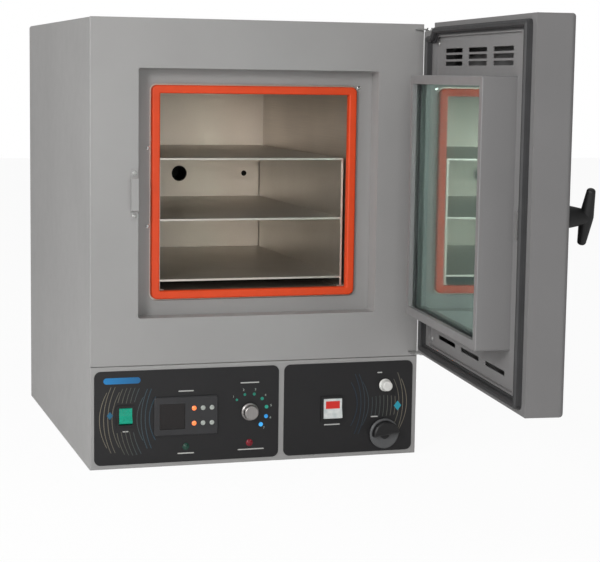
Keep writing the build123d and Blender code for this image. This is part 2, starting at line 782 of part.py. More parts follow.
def door_insulation():
    """Blanket around the window duct, cut back clear of the vent slots."""
    outer = rect(lip_width + 24, lip_height + 10, 0, lip_centre)
    inner = rect(lip_opening_width + 2 * sheet + 1, lip_opening_height + 2 * sheet + 1, 0, lip_centre)
    near = door_face + sheet
    return slab(outer - inner, near, liner_face - 2 * sheet - near)


def liner_screws():
    high = door_middle + door_height / 2 - liner_end
    low = door_middle - door_height / 2 + liner_end
    spots = [(x, z) for x in (liner_left + 12, liner_right - 12) for z in (low + 11, high - 11)]
    return [Rot(0, 0, 180) * pan_head(-x, -liner_face, z, 3, 1.8) for x, z in spots]


def latch_sleeve():
    """Bearing tube through the door with a flange on each face."""
    bore = latch_rod + running_fit
    points = [(bore, 2), (latch_rod + 9, 2), (latch_rod + 9, 0), (latch_rod + 3, 0), (latch_rod + 3, -door_thick),
              (latch_rod + 4, -door_thick), (latch_rod + 4, -door_thick - 1), (bore, -door_thick - 1)]
    return turned(points, handle_x, door_face, handle_height)


def latch_shaft():
    """Shaft through the door with a quarter-turn blade that points down when released."""
    near = door_face - handle_reach + 6
    shaft = slab(disc(latch_rod, handle_x, handle_height), near, front - cam_clear - near)
    boss = 8.0
    blade = Pos(handle_x, handle_height - (cam_reach - boss) / 2) * SlotOverall(cam_reach + boss, 11, rotation=90)
    blade += disc(boss, handle_x, handle_height)
    return shaft + slab(blade, front - cam_clear - cam_thick, cam_thick)


def t_handle():
    """Turned stem that swells into a tapered cross bar."""
    base = door_face - 2 - free_gap
    reach = handle_reach - 2 - free_gap
    stem = turned([(latch_rod, 0), (15, 0), (15.5, 1), (14, reach * 0.35), (9.5, reach), (latch_rod, reach)],
                  handle_x, base, handle_height)
    half = handle_length / 2
    profile = outline([(0, -half), (5.5, -half), (9.5, 0), (5.5, half), (0, half)])
    corners = profile.vertices().filter_by(lambda v: v.X > 4).sort_by(Axis.X)
    profile = fillet(corners[:2], 4)
    profile = fillet(profile.vertices().sort_by(Axis.X)[-1], 30)
    bar = revolve(profile, axis=Axis.Y)
    bar = Pos(handle_x, door_face - handle_reach, handle_height) * Rot(0, -handle_lean, 0) * Rot(90, 0, 0) * bar
    socket = slab(disc(latch_rod, handle_x, handle_height), door_face - handle_reach + 6, handle_reach)
    return stem + bar - socket


def swing(piece):
    """Turn a door piece from closed to open about the hinge pins."""
    pivot = Pos(pin_x, pin_y, 0)
    return pivot * Rot(0, 0, door_open) * pivot.inverse() * piece


def together(shape):
    """One shape from a single solid or a list of them."""
    return Compound(children=shape) if isinstance(shape, list) else shape


fixed_parts = {
    "outer_case": outer_case(),
    "front_fascia": front_fascia(),
    "control_housing": control_housing(),
    "temperature_overlay": overlay(6 - half_width, overlay_seam - 4.25),
    "vacuum_overlay": overlay(overlay_seam + 4.25, half_width - 7),
    "base_pan": base_pan(),
    "inner_deck": inner_deck(),
    "back_panel": back_panel(),
    "case_screws": case_screws(),
    "chamber_body": chamber_body(),
    "chamber_gasket": chamber_gasket(),
    "gasket_clips": gasket_clips(),
    "rear_manifold": manifold(),
    "temperature_probe": temperature_probe(),
    "heater_pads": heater_pads(),
    "chamber_supports": chamber_supports(),
    "insulation": insulation(),
    "vacuum_tubes": vacuum_tubes(),
    "vent_tubes": vent_tubes(),
    "needle_valves": [valve_body(*vent_at), valve_body(*vacuum_at)],
    "rear_ports": [rear_port(*vacuum_at, tube_radius, 22), rear_port(vent_inlet_x, vent_at[1], vent_tube_radius, 18)],
    "mains_sockets": [rear_socket(rear_sockets[0][0], True), rear_socket(rear_sockets[1][0], False)],
    "relay_module": relay_module(),
    "power_switch_body": switch_body(power_switch),
    "pump_switch_body": switch_body(pump_switch),
    "controller_body": controller_body(),
    "display_window": display_window(),
    "controller_lamps": controller_lamps(),
    "heat_lamp": pilot_lamp(*green_lamp_at),
    "limit_lamp": pilot_lamp(*red_lamp_at),
    "limit_thermostat": limit_control(),
    "latch_strike": latch_strike(),
    "hinge_brackets": hinge_brackets(),
    "fascia_screws": fascia_screws(),
}

moving_parts = {
    "power_rocker": rocker(power_switch),
    "pump_rocker": rocker(pump_switch),
    "limit_dial": [knob(*dial_at, 13.5, 13, 12, 2), valve_stem(*dial_at, 12)],
    "vent_knob": [knob(*vent_at, 10, 14, 10, 2.3), valve_stem(*vent_at, 13.3)],
    "vacuum_knob": [vacuum_knob(), valve_stem(*vacuum_at, 7.3)],
}
for row_name, row in zip(("lower", "upper"), key_rows):
    for column_name, column in zip(("left", "right"), key_columns):
        moving_parts[f"key_{row_name}_{column_name}"] = key(column, row)
for level, name in enumerate(("lower", "middle", "upper")):
    moving_parts[f"shelf_{name}"] = shelf(level)

door_parts = {
    "door_shell": door_shell(),
    "door_liner": door_liner(),
    "door_gasket": door_gasket(),
    "window_box": window_box(),
    "inner_glass": inner_glass(),
    "window_shroud": window_shroud(),
    "outer_window": outer_window(),
    "window_trim": window_trim(),
    "door_insulation": door_insulation(),
    "liner_screws": liner_screws(),
    "latch_sleeve": latch_sleeve(),
    "hinge_straps": hinge_straps(),
    "latch_shaft": latch_shaft(),
    "t_handle": t_handle(),
}

os.makedirs("parts", exist_ok=True)
for name, shape in {**fixed_parts, **moving_parts}.items():
    export_step(together(shape), f"parts/{name}.step")
for name, shape in door_parts.items():
    export_step(swing(together(shape)), f"parts/{name}.step")
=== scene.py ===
"""Looks of a bench-top vacuum oven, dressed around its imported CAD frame.

Every length is in metres and every position is in the frame of the CAD part:
+X towards the hinge side, +Y towards the back and +Z up from the bench.
"""
import logging
import math
from dataclasses import dataclass, field
from enum import Enum
from typing import Callable, Iterable, Optional, Protocol, Sequence

import bmesh
import bpy
from mathutils import Matrix, Vector


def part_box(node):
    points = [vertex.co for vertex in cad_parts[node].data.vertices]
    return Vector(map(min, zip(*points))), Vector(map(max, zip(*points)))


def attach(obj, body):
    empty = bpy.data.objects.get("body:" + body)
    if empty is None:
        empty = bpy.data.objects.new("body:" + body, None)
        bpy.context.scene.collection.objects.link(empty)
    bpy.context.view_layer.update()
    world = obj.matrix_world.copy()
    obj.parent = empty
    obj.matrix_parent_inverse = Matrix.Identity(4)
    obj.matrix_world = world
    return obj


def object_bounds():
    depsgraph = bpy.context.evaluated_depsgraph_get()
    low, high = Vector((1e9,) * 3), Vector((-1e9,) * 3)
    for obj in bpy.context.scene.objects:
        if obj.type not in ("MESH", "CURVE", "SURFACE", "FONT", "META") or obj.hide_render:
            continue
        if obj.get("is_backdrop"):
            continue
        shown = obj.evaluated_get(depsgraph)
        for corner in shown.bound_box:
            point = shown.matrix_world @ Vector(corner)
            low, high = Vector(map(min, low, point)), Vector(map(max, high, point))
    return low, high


logging.basicConfig(level=logging.INFO, format="%(name)s: %(message)s")
LOG = logging.getLogger("vacuum_oven")

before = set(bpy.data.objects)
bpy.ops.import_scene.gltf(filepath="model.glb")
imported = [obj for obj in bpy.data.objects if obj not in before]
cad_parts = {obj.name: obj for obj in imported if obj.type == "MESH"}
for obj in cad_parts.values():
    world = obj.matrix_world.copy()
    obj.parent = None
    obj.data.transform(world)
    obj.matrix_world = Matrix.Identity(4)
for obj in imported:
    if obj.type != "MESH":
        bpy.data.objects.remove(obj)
CAD_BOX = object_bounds()

Colour = tuple[float, float, float, float]
Point = tuple[float, float, float]
Spot = tuple[float, float]


class Axis(Enum):
    """A direction of the frame, as an index into a vector."""

    X = 0
    Y = 1
    Z = 2


class Body(Enum):
    """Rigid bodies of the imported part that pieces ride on."""

    OVEN = "oven"
    DOOR = "door"


def rgb(red: float, green: float, blue: float) -> Colour:
    """Turn screen values into a linear colour.

    Args:
        red: Screen value from 0 to 255.
        green: Screen value from 0 to 255.
        blue: Screen value from 0 to 255.

    Returns:
        The linear colour, opaque.
    """
    def linear(value: float) -> float:
        """Undo the screen's curve for one value."""
        part = value / 255
        return part / 12.92 if part <= 0.04045 else ((part + 0.055) / 1.055) ** 2.4

    return (linear(red), linear(green), linear(blue), 1.0)


class NodeWork:
    """Small builder around one node tree."""

    def __init__(self, tree: bpy.types.NodeTree) -> None:
        """Empty the tree and keep it."""
        self.tree = tree
        self.tree.nodes.clear()

    def add(self, kind: str, **values: object) -> bpy.types.Node:
        """Add a node.

        Args:
            kind: Blender's identifier of the node.
            values: Attributes set on the node.

        Returns:
            The new node.
        """
        node = self.tree.nodes.new(kind)
        for key, value in values.items():
            setattr(node, key, value)
        return node

    def link(self, start: bpy.types.NodeSocket, end: bpy.types.NodeSocket) -> None:
        """Join two sockets."""
        self.tree.links.new(start, end)

    def math(self, operation: str, first: object, second: object = 0.0) -> bpy.types.NodeSocket:
        """Add a Math node.

        Args:
            operation: Its operation.
            first: Socket or number.
            second: Socket or number, unused by an operation on one value.

        Returns:
            The result socket.
        """
        node = self.add("ShaderNodeMath", operation=operation)
        for socket, value in zip(node.inputs, (first, second)):
            if isinstance(value, bpy.types.NodeSocket):
                self.link(value, socket)
            else:
                socket.default_value = value
        return node.outputs[0]

    def seen(self) -> bpy.types.NodeSocket:
        """Give 1 for rays from the camera or through glass, and 0 for the rest.

        Returns:
            The factor socket.
        """
        path = self.add("ShaderNodeLightPath").outputs
        return self.math("MAXIMUM", path["Is Camera Ray"], path["Is Transmission Ray"])

    def mix_shaders(self, factor: bpy.types.NodeSocket, first: bpy.types.Node, second: bpy.types.Node,
                    end: bpy.types.NodeSocket) -> None:
        """Mix two shaders into an output.

        Args:
            factor: Share of the second shader.
            first: Node of the first shader.
            second: Node of the second shader.
            end: Socket of the output.
        """
        mix = self.add("ShaderNodeMixShader")
        self.link(factor, mix.inputs["Fac"])
        self.link(first.outputs[0], mix.inputs[1])
        self.link(second.outputs[0], mix.inputs[2])
        self.link(mix.outputs[0], end)


class Shader(NodeWork):
    """Builder of one material."""

    def __init__(self, name: str) -> None:
        """Start an empty material.

        Args:
            name: Name of the material.
        """
        self.material = bpy.data.materials.new(name)
        self.material.use_nodes = True
        super().__init__(self.material.node_tree)
        self.output = self.add("ShaderNodeOutputMaterial")

    def place(self, scale: Point = (1.0, 1.0, 1.0)) -> bpy.types.NodeSocket:
        """Object coordinates, stretched per axis.

        Args:
            scale: Factor along each axis.

        Returns:
            The vector socket.
        """
        source = self.add("ShaderNodeTexCoord").outputs["Object"]
        mapping = self.add("ShaderNodeMapping")
        mapping.inputs["Scale"].default_value = scale
        self.link(source, mapping.inputs["Vector"])
        return mapping.outputs["Vector"]

    def noise(self, scale: float, detail: float,
              place: Optional[bpy.types.NodeSocket] = None) -> bpy.types.NodeSocket:
        """Fractal noise between 0 and 1.

        Args:
            scale: Features per metre.
            detail: Number of octaves.
            place: Coordinates, or None for plain object coordinates.

        Returns:
            The factor socket.
        """
        node = self.add("ShaderNodeTexNoise")
        node.inputs["Scale"].default_value = scale
        node.inputs["Detail"].default_value = detail
        self.link(place or self.place(), node.inputs["Vector"])
        return node.outputs["Fac"]

    def ramp(self, factor: bpy.types.NodeSocket,
             stops: Sequence[tuple[float, Colour]]) -> bpy.types.NodeSocket:
        """Colour ramp over a factor.

        Args:
            factor: Value that drives the ramp.
            stops: Positions and colours from low to high.

        Returns:
            The colour socket.
        """
        node = self.add("ShaderNodeValToRGB")
        elements = node.color_ramp.elements
        while len(elements) < len(stops):
            elements.new(0.5)
        for element, (position, colour) in zip(elements, stops):
            element.position = position
            element.color = colour
        self.link(factor, node.inputs["Fac"])
        return node.outputs["Color"]

    def spread(self, factor: bpy.types.NodeSocket, low: float, high: float) -> bpy.types.NodeSocket:
        """Map a factor between two values.

        Args:
            factor: Value from 0 to 1.
            low: Result at 0.
            high: Result at 1.

        Returns:
            The result socket.
        """
        node = self.add("ShaderNodeMapRange")
        node.inputs["To Min"].default_value = low
        node.inputs["To Max"].default_value = high
        self.link(factor, node.inputs["Value"])
        return node.outputs["Result"]

    def bump(self, height: bpy.types.NodeSocket, depth: float) -> bpy.types.NodeSocket:
        """Bump from a height.

        Args:
            height: Height factor.
            depth: Depth in metres.

        Returns:
            The normal socket.
        """
        node = self.add("ShaderNodeBump")
        node.inputs["Strength"].default_value = 1.0
        node.inputs["Distance"].default_value = depth
        self.link(height, node.inputs["Height"])
        return node.outputs["Normal"]

    def blend(self, factor: bpy.types.NodeSocket, first: object, second: object) -> bpy.types.NodeSocket:
        """Mix two colours.

        Args:
            factor: Share of the second colour.
            first: Socket or colour.
            second: Socket or colour.

        Returns:
            The colour socket.
        """
        node = self.add("ShaderNodeMix", data_type="RGBA")
        self.link(factor, node.inputs["Factor"])
        for index, value in ((6, first), (7, second)):
            if isinstance(value, bpy.types.NodeSocket):
                self.link(value, node.inputs[index])
            else:
                node.inputs[index].default_value = value
        return node.outputs[2]

    def principled(self, **sockets: object) -> bpy.types.Node:
        """Principled shader joined to the output.

        Args:
            sockets: Input names, with spaces as underscores, and their values or sockets.

        Returns:
            The shader node.
        """
        node = self.add("ShaderNodeBsdfPrincipled")
        for key, value in sockets.items():
            socket = node.inputs[key.replace("_", " ")]
            if isinstance(value, bpy.types.NodeSocket):
                self.link(value, socket)
            else:
                socket.default_value = value
        self.link(node.outputs["BSDF"], self.output.inputs["Surface"])
        return node


def shade(colour: Colour, factor: float) -> Colour:
    """Multiply a colour's brightness."""
    return (colour[0] * factor, colour[1] * factor, colour[2] * factor, 1.0)


@dataclass(frozen=True)
class PaintFinish:
    """Powder coat with fine orange peel and faint blotches."""

    name: str
    colour: Colour
    roughness: float = 0.42
    peel: float = 0.00002

    def build(self) -> bpy.types.Material:
        """Make the material.

        Returns:
            The finished material.
        """
        shader = Shader(self.name)
        blotch = shader.noise(7.0, 3.0)
        colour = shader.ramp(blotch, [(0.3, shade(self.colour, 0.965)), (0.7, shade(self.colour, 1.03))])
        grain = shader.noise(1400.0, 2.0)
        rough = shader.spread(shader.noise(45.0, 4.0), self.roughness - 0.05, self.roughness + 0.06)
        normal = shader.bump(grain, self.peel)
        shader.principled(Base_Color=colour, Roughness=rough, Normal=normal)
        return shader.material


@dataclass(frozen=True)
class BrushedFinish:
    """Rolled or brushed metal with streaks along one axis and faint heat tint."""

    name: str
    colour: Colour
    tint: Colour
    grain: Axis = Axis.Y
    roughness: float = 0.3
    metallic: float = 1.0
    scratch: float = 0.000012

    def build(self) -> bpy.types.Material:
        """Make the material.

        Returns:
            The finished material.
        """
        shader = Shader(self.name)
        scale = [900.0, 900.0, 900.0]
        scale[self.grain.value] = 9.0
        streaks = shader.noise(1.0, 5.0, shader.place(tuple(scale)))
        cloud = shader.noise(6.0, 3.0)
        base = shader.ramp(cloud, [(0.3, self.colour), (0.75, self.tint)])
        mix = shader.add("ShaderNodeMix", data_type="RGBA", blend_type="MULTIPLY")
        mix.inputs["Factor"].default_value = 0.5
        dull, clear = (0.72, 0.72, 0.72, 1.0), (1.0, 1.0, 1.0, 1.0)
        streak_tone = shader.ramp(streaks, [(0.25, dull), (0.75, clear)])
        shader.link(base, mix.inputs[6])
        shader.link(streak_tone, mix.inputs[7])
        rough = shader.spread(streaks, self.roughness - 0.08, self.roughness + 0.12)
        shader.principled(Base_Color=mix.outputs[2], Metallic=self.metallic, Roughness=rough,
                          Normal=shader.bump(streaks, self.scratch))
        return shader.material


@dataclass(frozen=True)
class MouldedFinish:
    """Moulded plastic or rubber with a fine grain and slight dust in its tone."""

    name: str
    colour: Colour
    roughness: float = 0.45
    grain: float = 1100.0
    depth: float = 0.00002
    sheen: float = 0.0
    dust: float = 1.25

    def build(self) -> bpy.types.Material:
        """Make the material.

        Returns:
            The finished material.
        """
        shader = Shader(self.name)
        cloud = shader.noise(35.0, 4.0)
        colour = shader.ramp(cloud, [(0.35, self.colour), (0.8, shade(self.colour, self.dust))])
        rough = shader.spread(shader.noise(160.0, 3.0), self.roughness - 0.06, self.roughness + 0.08)
        normal = shader.bump(shader.noise(self.grain, 3.0), self.depth)
        shader.principled(Base_Color=colour, Roughness=rough, Normal=normal, Sheen_Weight=self.sheen)
        return shader.material


@dataclass(frozen=True)
class GlassFinish:
    """Tinted pane with faint smears."""

    name: str
    colour: Colour
    transmission: float = 0.6
    ior: float = 1.6

    def build(self) -> bpy.types.Material:
        """Make the material.

        Returns:
            The finished material.
        """
        shader = Shader(self.name)
        smear = shader.noise(14.0, 4.0, shader.place((1.0, 1.0, 0.35)))
        colour = shader.ramp(smear, [(0.3, self.colour), (0.8, shade(self.colour, 1.12))])
        rough = shader.spread(smear, 0.02, 0.07)
        shader.principled(Base_Color=colour, Roughness=rough, Transmission_Weight=self.transmission,
                          IOR=self.ior, Specular_IOR_Level=0.9)
        return shader.material


@dataclass(frozen=True)
class LensFinish:
    """Lit or unlit coloured lens with a faint ripple."""

    name: str
    colour: Colour
    glow: float = 0.0

    def build(self) -> bpy.types.Material:
        """Make the material.

        Returns:
            The finished material.
        """
        shader = Shader(self.name)
        ripple = shader.noise(420.0, 2.0)
        colour = shader.ramp(ripple, [(0.3, shade(self.colour, 0.8)), (0.7, shade(self.colour, 1.15))])
        shader.principled(Base_Color=colour, Roughness=0.22, Emission_Color=colour,
                          Emission_Strength=self.glow, Normal=shader.bump(ripple, 0.00001))
        return shader.material


@dataclass(frozen=True)
class SweepFinish:
    """Printed ink that runs from one colour to another along an axis."""

    name: str
    start: float
    end: float
    stops: tuple[tuple[float, Colour], ...]
    axis: Axis = Axis.X
    glow: float = 0.0

    def build(self) -> bpy.types.Material:
        """Make the material.

        Returns:
            The finished material.
        """
        shader = Shader(self.name)
        split = shader.add("ShaderNodeSeparateXYZ")
        shader.link(shader.place(), split.inputs["Vector"])
        along = shader.add("ShaderNodeMapRange")
        along.inputs["From Min"].default_value = self.start
        along.inputs["From Max"].default_value = self.end
        shader.link(split.outputs[self.axis.value], along.inputs["Value"])
        colour = shader.ramp(along.outputs["Result"], self.stops)
        rough = shader.spread(shader.noise(220.0, 2.0), 0.38, 0.5)
        # A glow above zero is painted light on the print.
        shader.principled(Base_Color=colour, Roughness=rough, Emission_Color=colour,
                          Emission_Strength=self.glow)
        return shader.material


@dataclass(frozen=True)
class TwoToneRocker:
    """Pale rocker with a red upper field inside a pale border."""

    name: str
    field_low: float
    field_high: float
    side: float
    middle: float

    def build(self) -> bpy.types.Material:
        """Make the material.

        Returns:
            The finished material.
        """
        shader = Shader(self.name)
        split = shader.add("ShaderNodeSeparateXYZ")
        shader.link(shader.place(), split.inputs["Vector"])
        across = shader.math("ABSOLUTE", shader.math("SUBTRACT", split.outputs["X"], self.middle))
        inside = shader.math("LESS_THAN", across, self.side)
        above = shader.math("GREATER_THAN", split.outputs["Z"], self.field_low)
        under = shader.math("LESS_THAN", split.outputs["Z"], self.field_high)
        whole = shader.math("MULTIPLY", shader.math("MULTIPLY", above, under), inside)
        cloud = shader.noise(120.0, 2.0)
        pale = shader.ramp(cloud, [(0.3, rgb(176, 184, 184)), (0.7, rgb(206, 208, 206))])
        colour = shader.blend(whole, pale, rgb(196, 34, 26))
        # The cap glows faintly all over, its pale border too, though it is no lamp: painted light.
        shader.principled(Base_Color=colour, Roughness=0.3, Emission_Color=colour, Emission_Strength=0.12)
        return shader.material


@dataclass(frozen=True)
class TwoPartFinish:
    """Moulding whose colour changes past a plane, such as a grip on a paler skirt."""

    name: str
    far_colour: Colour
    near_colour: Colour
    normal: Point
    offset: float
    roughness: float = 0.42

    def build(self) -> bpy.types.Material:
        """Make the material.

        Returns:
            The finished material.
        """
        shader = Shader(self.name)
        dot = shader.add("ShaderNodeVectorMath", operation="DOT_PRODUCT")
        dot.inputs[1].default_value = self.normal
        shader.link(shader.place(), dot.inputs[0])
        past = shader.math("GREATER_THAN", dot.outputs["Value"], self.offset)
        cloud = shader.noise(60.0, 3.0)
        far = shader.ramp(cloud, [(0.35, self.far_colour), (0.8, shade(self.far_colour, 1.15))])
        near = shader.ramp(cloud, [(0.35, self.near_colour), (0.8, shade(self.near_colour, 1.3))])
        rough = shader.spread(shader.noise(180.0, 3.0), self.roughness - 0.06, self.roughness + 0.08)
        normal = shader.bump(shader.noise(1100.0, 3.0), 0.00002)
        shader.principled(Base_Color=shader.blend(past, far, near), Roughness=rough, Normal=normal)
        return shader.material


@dataclass(frozen=True)
class FilmFinish:
    """Reflecting film behind a pane, a teal mirror with faint waves."""

    name: str
    colour: Colour
    mirror: float

    def build(self) -> bpy.types.Material:
        """Make the material.

        Returns:
            The finished material.
        """
        shader = Shader(self.name)
        wave = shader.noise(5.0, 2.0, shader.place((1.0, 1.0, 0.3)))
        colour = shader.ramp(wave, [(0.3, self.colour), (0.75, shade(self.colour, 1.1))])
        rough = shader.spread(wave, 0.01, 0.035)
        shader.principled(Base_Color=colour, Metallic=self.mirror, Roughness=rough, Specular_IOR_Level=0.8)
        return shader.material


@dataclass(frozen=True)
class FloorFinish:
    """Pale floor that looks white to the camera and keeps a soft shadow."""

    name: str
    white_share: float = 0.94

    def build(self) -> bpy.types.Material:
        """Make the material.

        Returns:
            The finished material.
        """
        shader = Shader(self.name)
        cloud = shader.noise(1.2, 2.0)
        colour = shader.ramp(cloud, [(0.3, (0.86, 0.86, 0.86, 1.0)), (0.7, (0.9, 0.9, 0.9, 1.0))])
        diffuse = shader.add("ShaderNodeBsdfDiffuse")
        shader.link(colour, diffuse.inputs["Color"])
        glow = shader.add("ShaderNodeEmission")
        glow.inputs["Color"].default_value = (1.0, 1.0, 1.0, 1.0)
        share = shader.math("MULTIPLY", shader.seen(), self.white_share)
        shader.mix_shaders(share, diffuse, glow, shader.output.inputs["Surface"])
        return shader.material


class Finish(Protocol):
    """Anything that has a name and builds one material."""

    name: str

    def build(self) -> bpy.types.Material:
        """Make the material."""


class Palette:
    """All finishes of the part, each built once."""

    def __init__(self) -> None:
        """Build the materials."""
        finishes = [*self.paints(), *self.metals(), *self.plastics(), *self.glasses(), *self.lenses()]
        self.materials = {finish.name: finish.build() for finish in finishes}

    def paints(self) -> list[Finish]:
        """Powder coats, the printed film's ground and the studio floor.

        Returns:
            Their finishes.
        """
        return [
            PaintFinish("case_paint", rgb(149, 148, 147)),
            # The door's coat is the case's grey painted darker: painted shade, as the open door takes less
            # light than the case front.
            PaintFinish("door_paint", rgb(112, 111, 111)),
            # The liner's coat is the same grey painted darker: painted shade on the door's inner face.
            PaintFinish("liner_paint", rgb(120, 119, 119), roughness=0.38),
            MouldedFinish("overlay_film", rgb(16, 15, 17), roughness=0.5, grain=2600.0, depth=0.000006,
                          dust=1.15),
            FloorFinish("studio_floor"),
        ]

    def metals(self) -> list[Finish]:
        """Bare metals, each with its colour and its heat tint.

        Returns:
            Their finishes.
        """
        return [
            BrushedFinish("chamber_steel", (0.70, 0.63, 0.555, 1.0), (0.80, 0.73, 0.64, 1.0), roughness=0.4),
            BrushedFinish("shelf_steel", (0.76, 0.71, 0.64, 1.0), (0.85, 0.81, 0.74, 1.0), Axis.X, 0.36),
            BrushedFinish("zinc_steel", (0.52, 0.53, 0.53, 1.0), (0.62, 0.62, 0.60, 1.0), Axis.X, 0.36),
            BrushedFinish("bright_steel", (0.74, 0.74, 0.73, 1.0), (0.8, 0.8, 0.79, 1.0), Axis.Z, 0.18),
            BrushedFinish("dial_metal", (0.36, 0.34, 0.33, 1.0), (0.5, 0.48, 0.47, 1.0), Axis.Z, 0.34),
            # The near-black steel of the manifold and the probe is painted shade: it makes the ports in the
            # back wall read as dark holes.
            BrushedFinish("dark_steel", (0.008, 0.008, 0.008, 1.0), (0.014, 0.013, 0.012, 1.0),
                          roughness=0.7, metallic=0.2),
            BrushedFinish("copper", (0.62, 0.34, 0.2, 1.0), (0.7, 0.42, 0.28, 1.0), roughness=0.3),
            BrushedFinish("brass", (0.66, 0.5, 0.24, 1.0), (0.72, 0.56, 0.3, 1.0), roughness=0.28),
            BrushedFinish("aluminium", (0.6, 0.6, 0.61, 1.0), (0.68, 0.68, 0.69, 1.0), roughness=0.32),
        ]

    def plastics(self) -> list[Finish]:
        """Mouldings, rubbers, heater mats and wool.

        Returns:
            Their finishes.
        """
        return [
            MouldedFinish("orange_silicone", (0.66, 0.05, 0.002, 1.0), roughness=0.55, depth=0.00003,
                          dust=1.1),
            MouldedFinish("dark_rubber", rgb(44, 44, 45), roughness=0.55, depth=0.00005, dust=1.35),
            MouldedFinish("black_plastic", rgb(9, 9, 10), roughness=0.5),
            MouldedFinish("grey_plastic", rgb(78, 79, 80), roughness=0.45),
            MouldedFinish("bezel_plastic", rgb(40, 40, 42), roughness=0.5),
            MouldedFinish("white_plastic", rgb(214, 214, 210), roughness=0.3, dust=1.04),
            MouldedFinish("heater_mat", rgb(150, 60, 44), roughness=0.6),
            MouldedFinish("wool", rgb(150, 144, 128), 0.95, grain=260.0, depth=0.0012, sheen=0.3),
            # The door's wool is the chamber wool painted near black: painted shade inside the door.
            MouldedFinish("door_wool", rgb(40, 39, 38), 0.95, grain=260.0, depth=0.0012, sheen=0.1),
            TwoPartFinish("vacuum_knob_plastic", far_colour=rgb(84, 85, 86), near_colour=rgb(14, 14, 15),
                          normal=(0.0, -1.0, 0.0), offset=0.3172),
            TwoToneRocker("pump_rocker_cap", field_low=0.0785, field_high=0.0905, side=0.0115, middle=0.122),
        ]

    def glasses(self) -> list[Finish]:
        """Both panes of the door and the film behind the inner one.

        Returns:
            Their finishes.
        """
        return [
            GlassFinish("tinted_glass", (0.80, 0.88, 0.85, 1.0), transmission=1.0, ior=1.04),
            GlassFinish("outer_pane", (0.52, 0.56, 0.55, 1.0), transmission=0.7, ior=1.5),
            FilmFinish("mirror_film", (0.50, 0.56, 0.54, 1.0), mirror=0.82),
        ]

    def lenses(self) -> list[Finish]:
        """Lamps, keys, the lit rocker and the display.

        Returns:
            Their finishes.
        """
        return [
            LensFinish("display_lens", rgb(16, 10, 10)),
            LensFinish("orange_lens", rgb(250, 122, 66), glow=0.85),
            LensFinish("green_lens", rgb(4, 138, 112), glow=0.2),
            LensFinish("dim_green_lens", rgb(22, 62, 50)),
            LensFinish("red_lens", rgb(120, 20, 34), glow=0.05),
            LensFinish("key_cap", rgb(172, 178, 172)),
        ]

    def __getitem__(self, name: str) -> bpy.types.Material:
        """Return a finish by name."""
        return self.materials[name]

    def add(self, finish: SweepFinish) -> bpy.types.Material:
        """Build one more finish and keep it."""
        self.materials[finish.name] = finish.build()
        return self.materials[finish.name]


def new_piece(name: str, mesh: bpy.types.Mesh, material: bpy.types.Material, body: Body) -> bpy.types.Object:
    """Link a mesh as a piece of the part.

    Args:
        name: Name of the piece.
        mesh: Finished mesh, placed in the frame.
        material: Its finish.
        body: Body that it rides on.

    Returns:
        The new object.
    """
    mesh.materials.clear()
    mesh.materials.append(material)
    piece = bpy.data.objects.new(name, mesh)
    bpy.context.scene.collection.objects.link(piece)
    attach(piece, body.value)
    LOG.info("%s rides on %s with %d faces", name, body.value, len(mesh.polygons))
    return piece


def mesh_of(name: str, build: Callable[[bmesh.types.BMesh], None]) -> bpy.types.Mesh:
    """Make a mesh with a bmesh function.

    Args:
        name: Name of the mesh.
        build: Function that fills the bmesh.

    Returns:
        The mesh, with its faces turned outward.
    """
    work = bmesh.new()
    build(work)
    bmesh.ops.recalc_face_normals(work, faces=work.faces)
    mesh = bpy.data.meshes.new(name)
    work.to_mesh(mesh)
    work.free()
    return mesh


def add_plate(work: bmesh.types.BMesh, outline: Sequence[Spot], near: float, thick: float) -> None:
    """Add a flat plate whose face looks to the front.

    Args:
        work: The bmesh to extend.
        outline: Corners as (x, z) in order.
        near: Y of its front face.
        thick: Its thickness.
    """
    front = [work.verts.new((x, near, z)) for x, z in outline]
    back = [work.verts.new((x, near + thick, z)) for x, z in outline]
    work.faces.new(front)
    work.faces.new(back[::-1])
    count = len(outline)
    for index in range(count):
        after = (index + 1) % count
        work.faces.new((front[index], back[index], back[after], front[after]))


def rounded_bar(x: float, z: float, width: float, height: float, steps: int = 4) -> list[Spot]:
    """Outline of a bar with round ends.

    Args:
        x: Centre across.
        z: Centre height.
        width: Length across.
        height: Thickness of the bar.
        steps: Segments of each quarter end.

    Returns:
        Its corners as (x, z).
    """
    radius = min(width, height) / 2
    points = []
    for quarter, (side, rise) in enumerate(((1, 1), (-1, 1), (-1, -1), (1, -1))):
        for step in range(steps + 1):
            angle = math.radians(90 * quarter + 90 * step / steps)
            points.append((x + side * (width / 2 - radius) + radius * math.cos(angle),
                           z + rise * (height / 2 - radius) + radius * math.sin(angle)))
    return points


